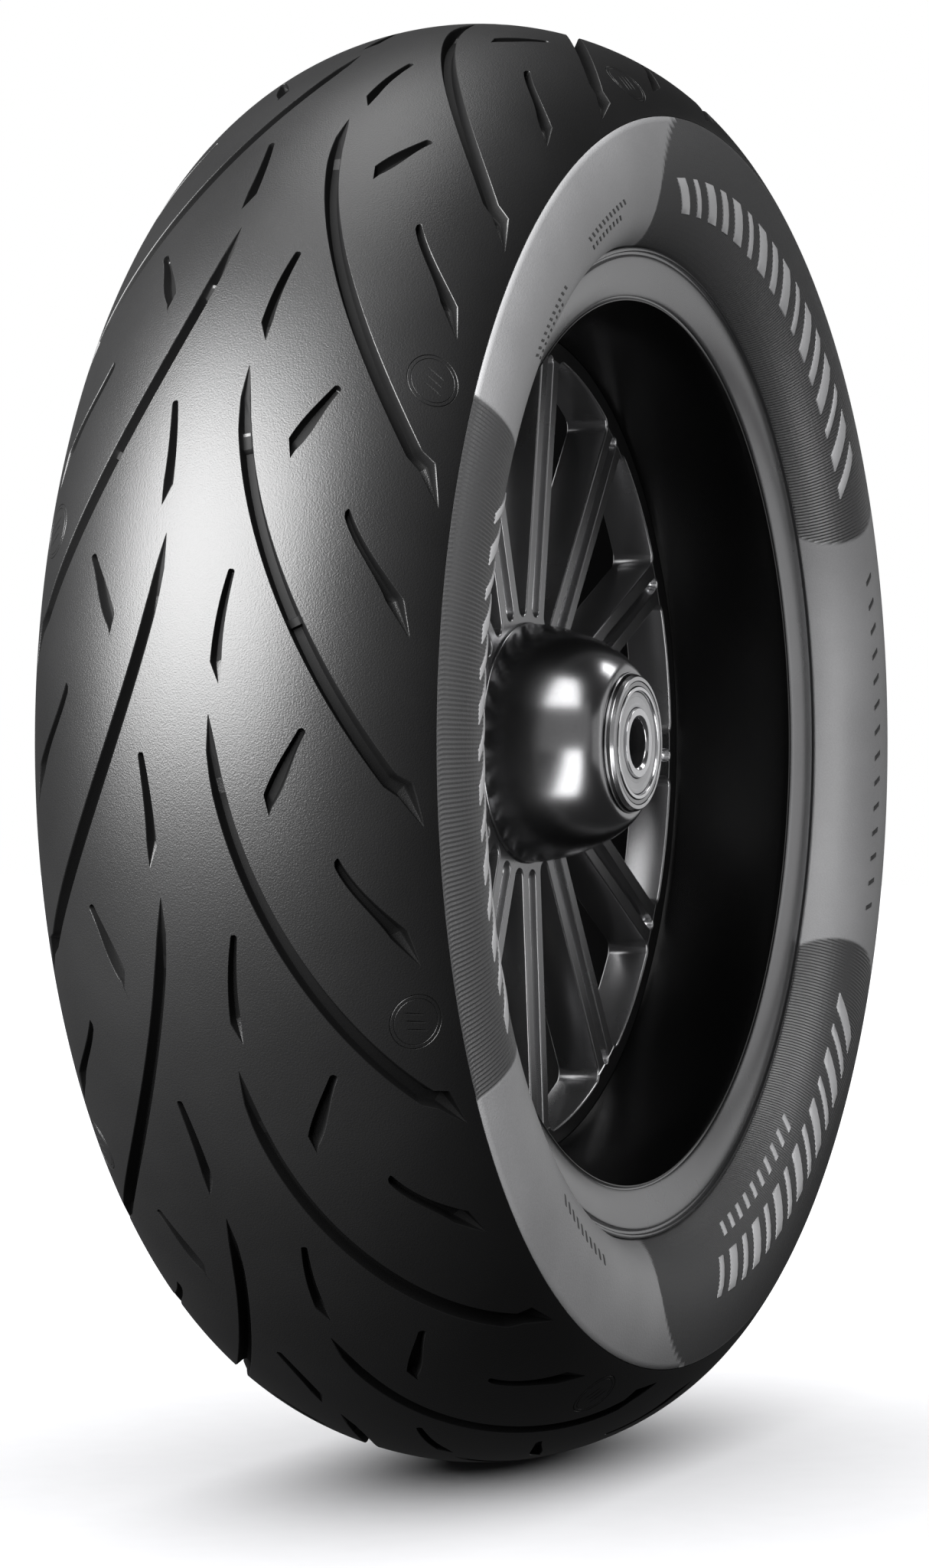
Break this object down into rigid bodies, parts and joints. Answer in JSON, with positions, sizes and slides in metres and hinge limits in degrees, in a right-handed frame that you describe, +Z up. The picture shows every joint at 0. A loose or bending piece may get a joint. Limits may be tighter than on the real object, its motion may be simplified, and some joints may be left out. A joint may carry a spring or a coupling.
{
  "type": "motorcycle rear wheel with tire",
  "caption": "Complete rear motorcycle wheel: wide belted tubeless tire with directional curved grooves on a spoked cast wheel, long hub dome, sealed bearings and a clamp-in valve.",
  "frame": {"origin": "centre of the wheel, on the axle line and halfway between the two tire shoulders", "axes": "+Y along the axle towards the far side with the bolt flange, -Y towards the hub dome, +Z up"},
  "size_m": [0.64, 0.1898, 0.64],
  "materials": {
    "tread_rubber": "matt black rubber with a fine grain",
    "sidewall_rubber": "satin grey-black rubber, part smooth and part finely ribbed",
    "hidden_rubber": "matt black rubber",
    "belt_cord": "rubberised cord",
    "bead_steel": "bronze-coated steel wire",
    "rim_metal": "gloss black barrel with a satin dark lip",
    "spoke_metal": "satin dark grey",
    "dark_chrome": "smoked mirror chrome",
    "bearing_steel": "ground bright steel",
    "seal_rubber": "matt grey rubber",
    "spacer_metal": "plain turned",
    "valve_brass": "nickel-plated",
    "cap_plastic": "matt black"
  },
  "bodies": {
    "wheel": {"tread": "tread_rubber", "belt_outer": "belt_cord", "belt_inner": "belt_cord", "carcass_ply": "belt_cord", "inner_liner": "hidden_rubber", "sidewall_near": "sidewall_rubber", "sidewall_far": "sidewall_rubber", "bead_wire_near": "bead_steel", "bead_wire_far": "bead_steel", "bead_filler_near": "hidden_rubber", "bead_filler_far": "hidden_rubber", "rim": "rim_metal", "spoke_disc": "spoke_metal", "hub": "dark_chrome", "hub_nose_ring": "dark_chrome", "bearing_outer_ring_near": "bearing_steel", "bearing_outer_ring_far": "bearing_steel", "bearing_seal_near_outside": "seal_rubber", "bearing_seal_near_inside": "seal_rubber", "bearing_seal_far_outside": "seal_rubber", "bearing_seal_far_inside": "seal_rubber", "valve_stem": "valve_brass", "valve_washer": "hidden_rubber", "valve_nut": "valve_brass", "valve_core": "valve_brass"},
    "axle_core": {"bearing_inner_ring_near": "bearing_steel", "bearing_inner_ring_far": "bearing_steel", "axle_spacer": "spacer_metal"},
    "balls_near": {"ball_cage_near": "bearing_steel"},
    "balls_far": {"ball_cage_far": "bearing_steel"},
    "valve_pin": {"valve_pin": "valve_brass"},
    "valve_cap": {"valve_cap": "cap_plastic"}
  },
  "joints": [
    {"name": "wheel_spin", "type": "hinge", "parent": "axle_core", "child": "wheel", "pos_m": [0, 0, 0], "axis": [0, 1, 0], "continuous": true},
    {"name": "balls_near_roll", "type": "hinge", "parent": "axle_core", "child": "balls_near", "pos_m": [0, 0, 0], "axis": [0, 1, 0], "continuous": true},
    {"name": "balls_far_roll", "type": "hinge", "parent": "axle_core", "child": "balls_far", "pos_m": [0, 0, 0], "axis": [0, 1, 0], "continuous": true},
    {"name": "valve_pin_press", "type": "slide", "parent": "wheel", "child": "valve_pin", "axis": [0, 0, -1], "range_m": [0, 0.0015], "stiffness_N_per_m": 400},
    {"name": "valve_cap_pull", "type": "slide", "parent": "wheel", "child": "valve_cap", "axis": [0, 0, 1], "range_m": [0, 0.02]}
  ],
  "couplings": [
    {"joint": "balls_near_roll", "follows": "wheel_spin", "ratio": 0.6056},
    {"joint": "balls_far_roll", "follows": "wheel_spin", "ratio": 0.6056}
  ]
}
